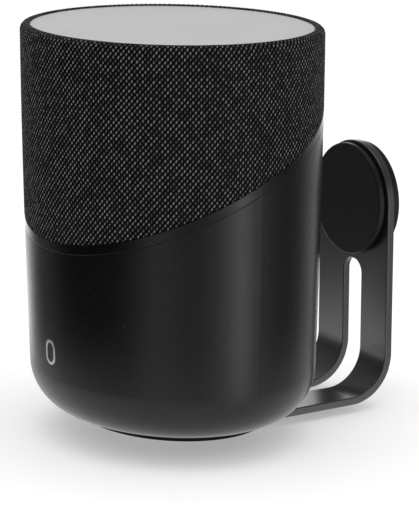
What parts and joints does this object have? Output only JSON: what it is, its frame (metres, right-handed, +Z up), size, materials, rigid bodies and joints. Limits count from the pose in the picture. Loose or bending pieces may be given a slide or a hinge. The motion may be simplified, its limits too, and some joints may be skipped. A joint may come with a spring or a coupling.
{
  "type": "smart speaker",
  "caption": "Oval smart speaker with a woven grille above a slanted trim ring and a touch top, standing on the slotted arm of a levelling wall bracket.",
  "frame": {"origin": "centre of the wall disc's rear face", "axes": "+Y points into the wall, +Z is up, the listener is at -Y"},
  "size_m": [0.2078, 0.2437, 0.2619],
  "materials": {
    "shell_plastic": "satin moulded, fine grain",
    "trim_plastic": "satin black with a polished edge",
    "grille_cloth": "coarse two-tone woven speaker cloth",
    "inner_plastic": "moulded, dull",
    "touch_lens": "smooth satin lens",
    "badge_metal": "polished",
    "foot_rubber": "dull, fine grain",
    "bracket_paint": "fine satin powder coat",
    "disc_paint": "smooth satin coat with a bright rim",
    "steel": "zinc plated",
    "brass": "turned",
    "aluminium": "extruded",
    "magnet_ferrite": "dull ferrite",
    "circuit_board": "solder mask",
    "board_parts": "moulded component bodies",
    "cone_paper": "pressed fibre",
    "dome_silk": "coated silk",
    "coil_copper": "enamelled winding",
    "gasket_foam": "closed-cell foam",
    "light_acrylic": "frosted light guide",
    "socket_plastic": "moulded socket body",
    "wire_cover": "smooth insulation",
    "ribbon_film": "polyimide film",
    "washer_fibre": "pressed friction fibre"
  },
  "bodies": {
    "wall_mount": {"wall_disc": "disc_paint", "pivot_stud": "steel", "friction_washer": "washer_fibre"},
    "bracket": {"bracket_arm": "bracket_paint"},
    "clamp": {"clamp_disc": "disc_paint"},
    "speaker": {"lower_shell": "shell_plastic", "trim_ring": "trim_plastic", "grille_frame": "inner_plastic", "grille_fabric": "grille_cloth", "top_panel": "touch_lens", "badge": "badge_metal", "touch_board": "circuit_board", "light_guide": "light_acrylic", "top_carrier": "inner_plastic", "microphones": "steel", "foot_pad": "foot_rubber", "base_plate": "shell_plastic", "threaded_insert": "brass", "base_screws": "steel", "inner_deck": "inner_plastic", "deck_screws": "steel", "acoustic_box": "inner_plastic", "front_baffle": "inner_plastic", "baffle_gasket": "gasket_foam", "woofer_gasket": "gasket_foam", "woofer_basket": "steel", "woofer_top_plate": "steel", "woofer_magnet": "magnet_ferrite", "woofer_yoke": "steel", "woofer_surround": "foot_rubber", "woofer_spider": "cone_paper", "tweeter_frame_left": "inner_plastic", "tweeter_frame_right": "inner_plastic", "tweeter_motor_left": "magnet_ferrite", "tweeter_motor_right": "magnet_ferrite", "driver_screws": "steel", "power_board": "circuit_board", "power_parts": "board_parts", "amplifier_board": "circuit_board", "amplifier_parts": "board_parts", "heat_sink": "aluminium", "wireless_module": "steel", "antennas": "circuit_board", "board_standoffs": "brass", "power_wires": "wire_cover", "ribbon_cable": "ribbon_film", "connector_panel": "shell_plastic", "io_board": "circuit_board", "power_inlet": "socket_plastic", "network_jack": "socket_plastic", "usb_port": "steel", "audio_jack": "socket_plastic", "panel_screws": "steel"},
    "thumb_screw": {"thumb_screw": "steel"},
    "service_button": {"service_button": "shell_plastic"},
    "woofer_moving": {"woofer_cone": "cone_paper", "dust_cap": "cone_paper", "voice_coil": "coil_copper"},
    "tweeter_left": {"tweeter_dome_left": "dome_silk"},
    "tweeter_right": {"tweeter_dome_right": "dome_silk"}
  },
  "joints": [
    {"name": "bracket_level", "type": "hinge", "parent": "wall_mount", "child": "bracket", "pos_m": [0, 0, 0], "axis": [0, 1, 0], "range_deg": [-15, 15]},
    {"name": "clamp_turn", "type": "hinge", "parent": "wall_mount", "child": "clamp", "pos_m": [0, 0, 0], "axis": [0, -1, 0], "continuous": true},
    {"name": "speaker_swivel", "type": "hinge", "parent": "bracket", "child": "speaker", "pos_m": [0, -0.1523, -0.1252], "axis": [0, 0, 1], "range_deg": [-45, 45]},
    {"name": "thumb_screw_turn", "type": "hinge", "parent": "speaker", "child": "thumb_screw", "pos_m": [0, -0.1523, -0.1252], "axis": [0, 0, 1], "continuous": true},
    {"name": "service_button_press", "type": "slide", "parent": "speaker", "child": "service_button", "axis": [0, -1, 0], "range_m": [0, 0.0008], "stiffness_N_per_m": 500, "springref_m": -0.0004},
    {"name": "woofer_travel", "type": "slide", "parent": "speaker", "child": "woofer_moving", "axis": [0, -1, 0], "range_m": [-0.004, 0.004], "stiffness_N_per_m": 900, "deforming": ["woofer_surround", "woofer_spider"]},
    {"name": "tweeter_left_travel", "type": "slide", "parent": "speaker", "child": "tweeter_left", "axis": [0, -1, 0], "range_m": [-0.0003, 0.0003], "stiffness_N_per_m": 800},
    {"name": "tweeter_right_travel", "type": "slide", "parent": "speaker", "child": "tweeter_right", "axis": [0, -1, 0], "range_m": [-0.0003, 0.0003], "stiffness_N_per_m": 800}
  ]
}
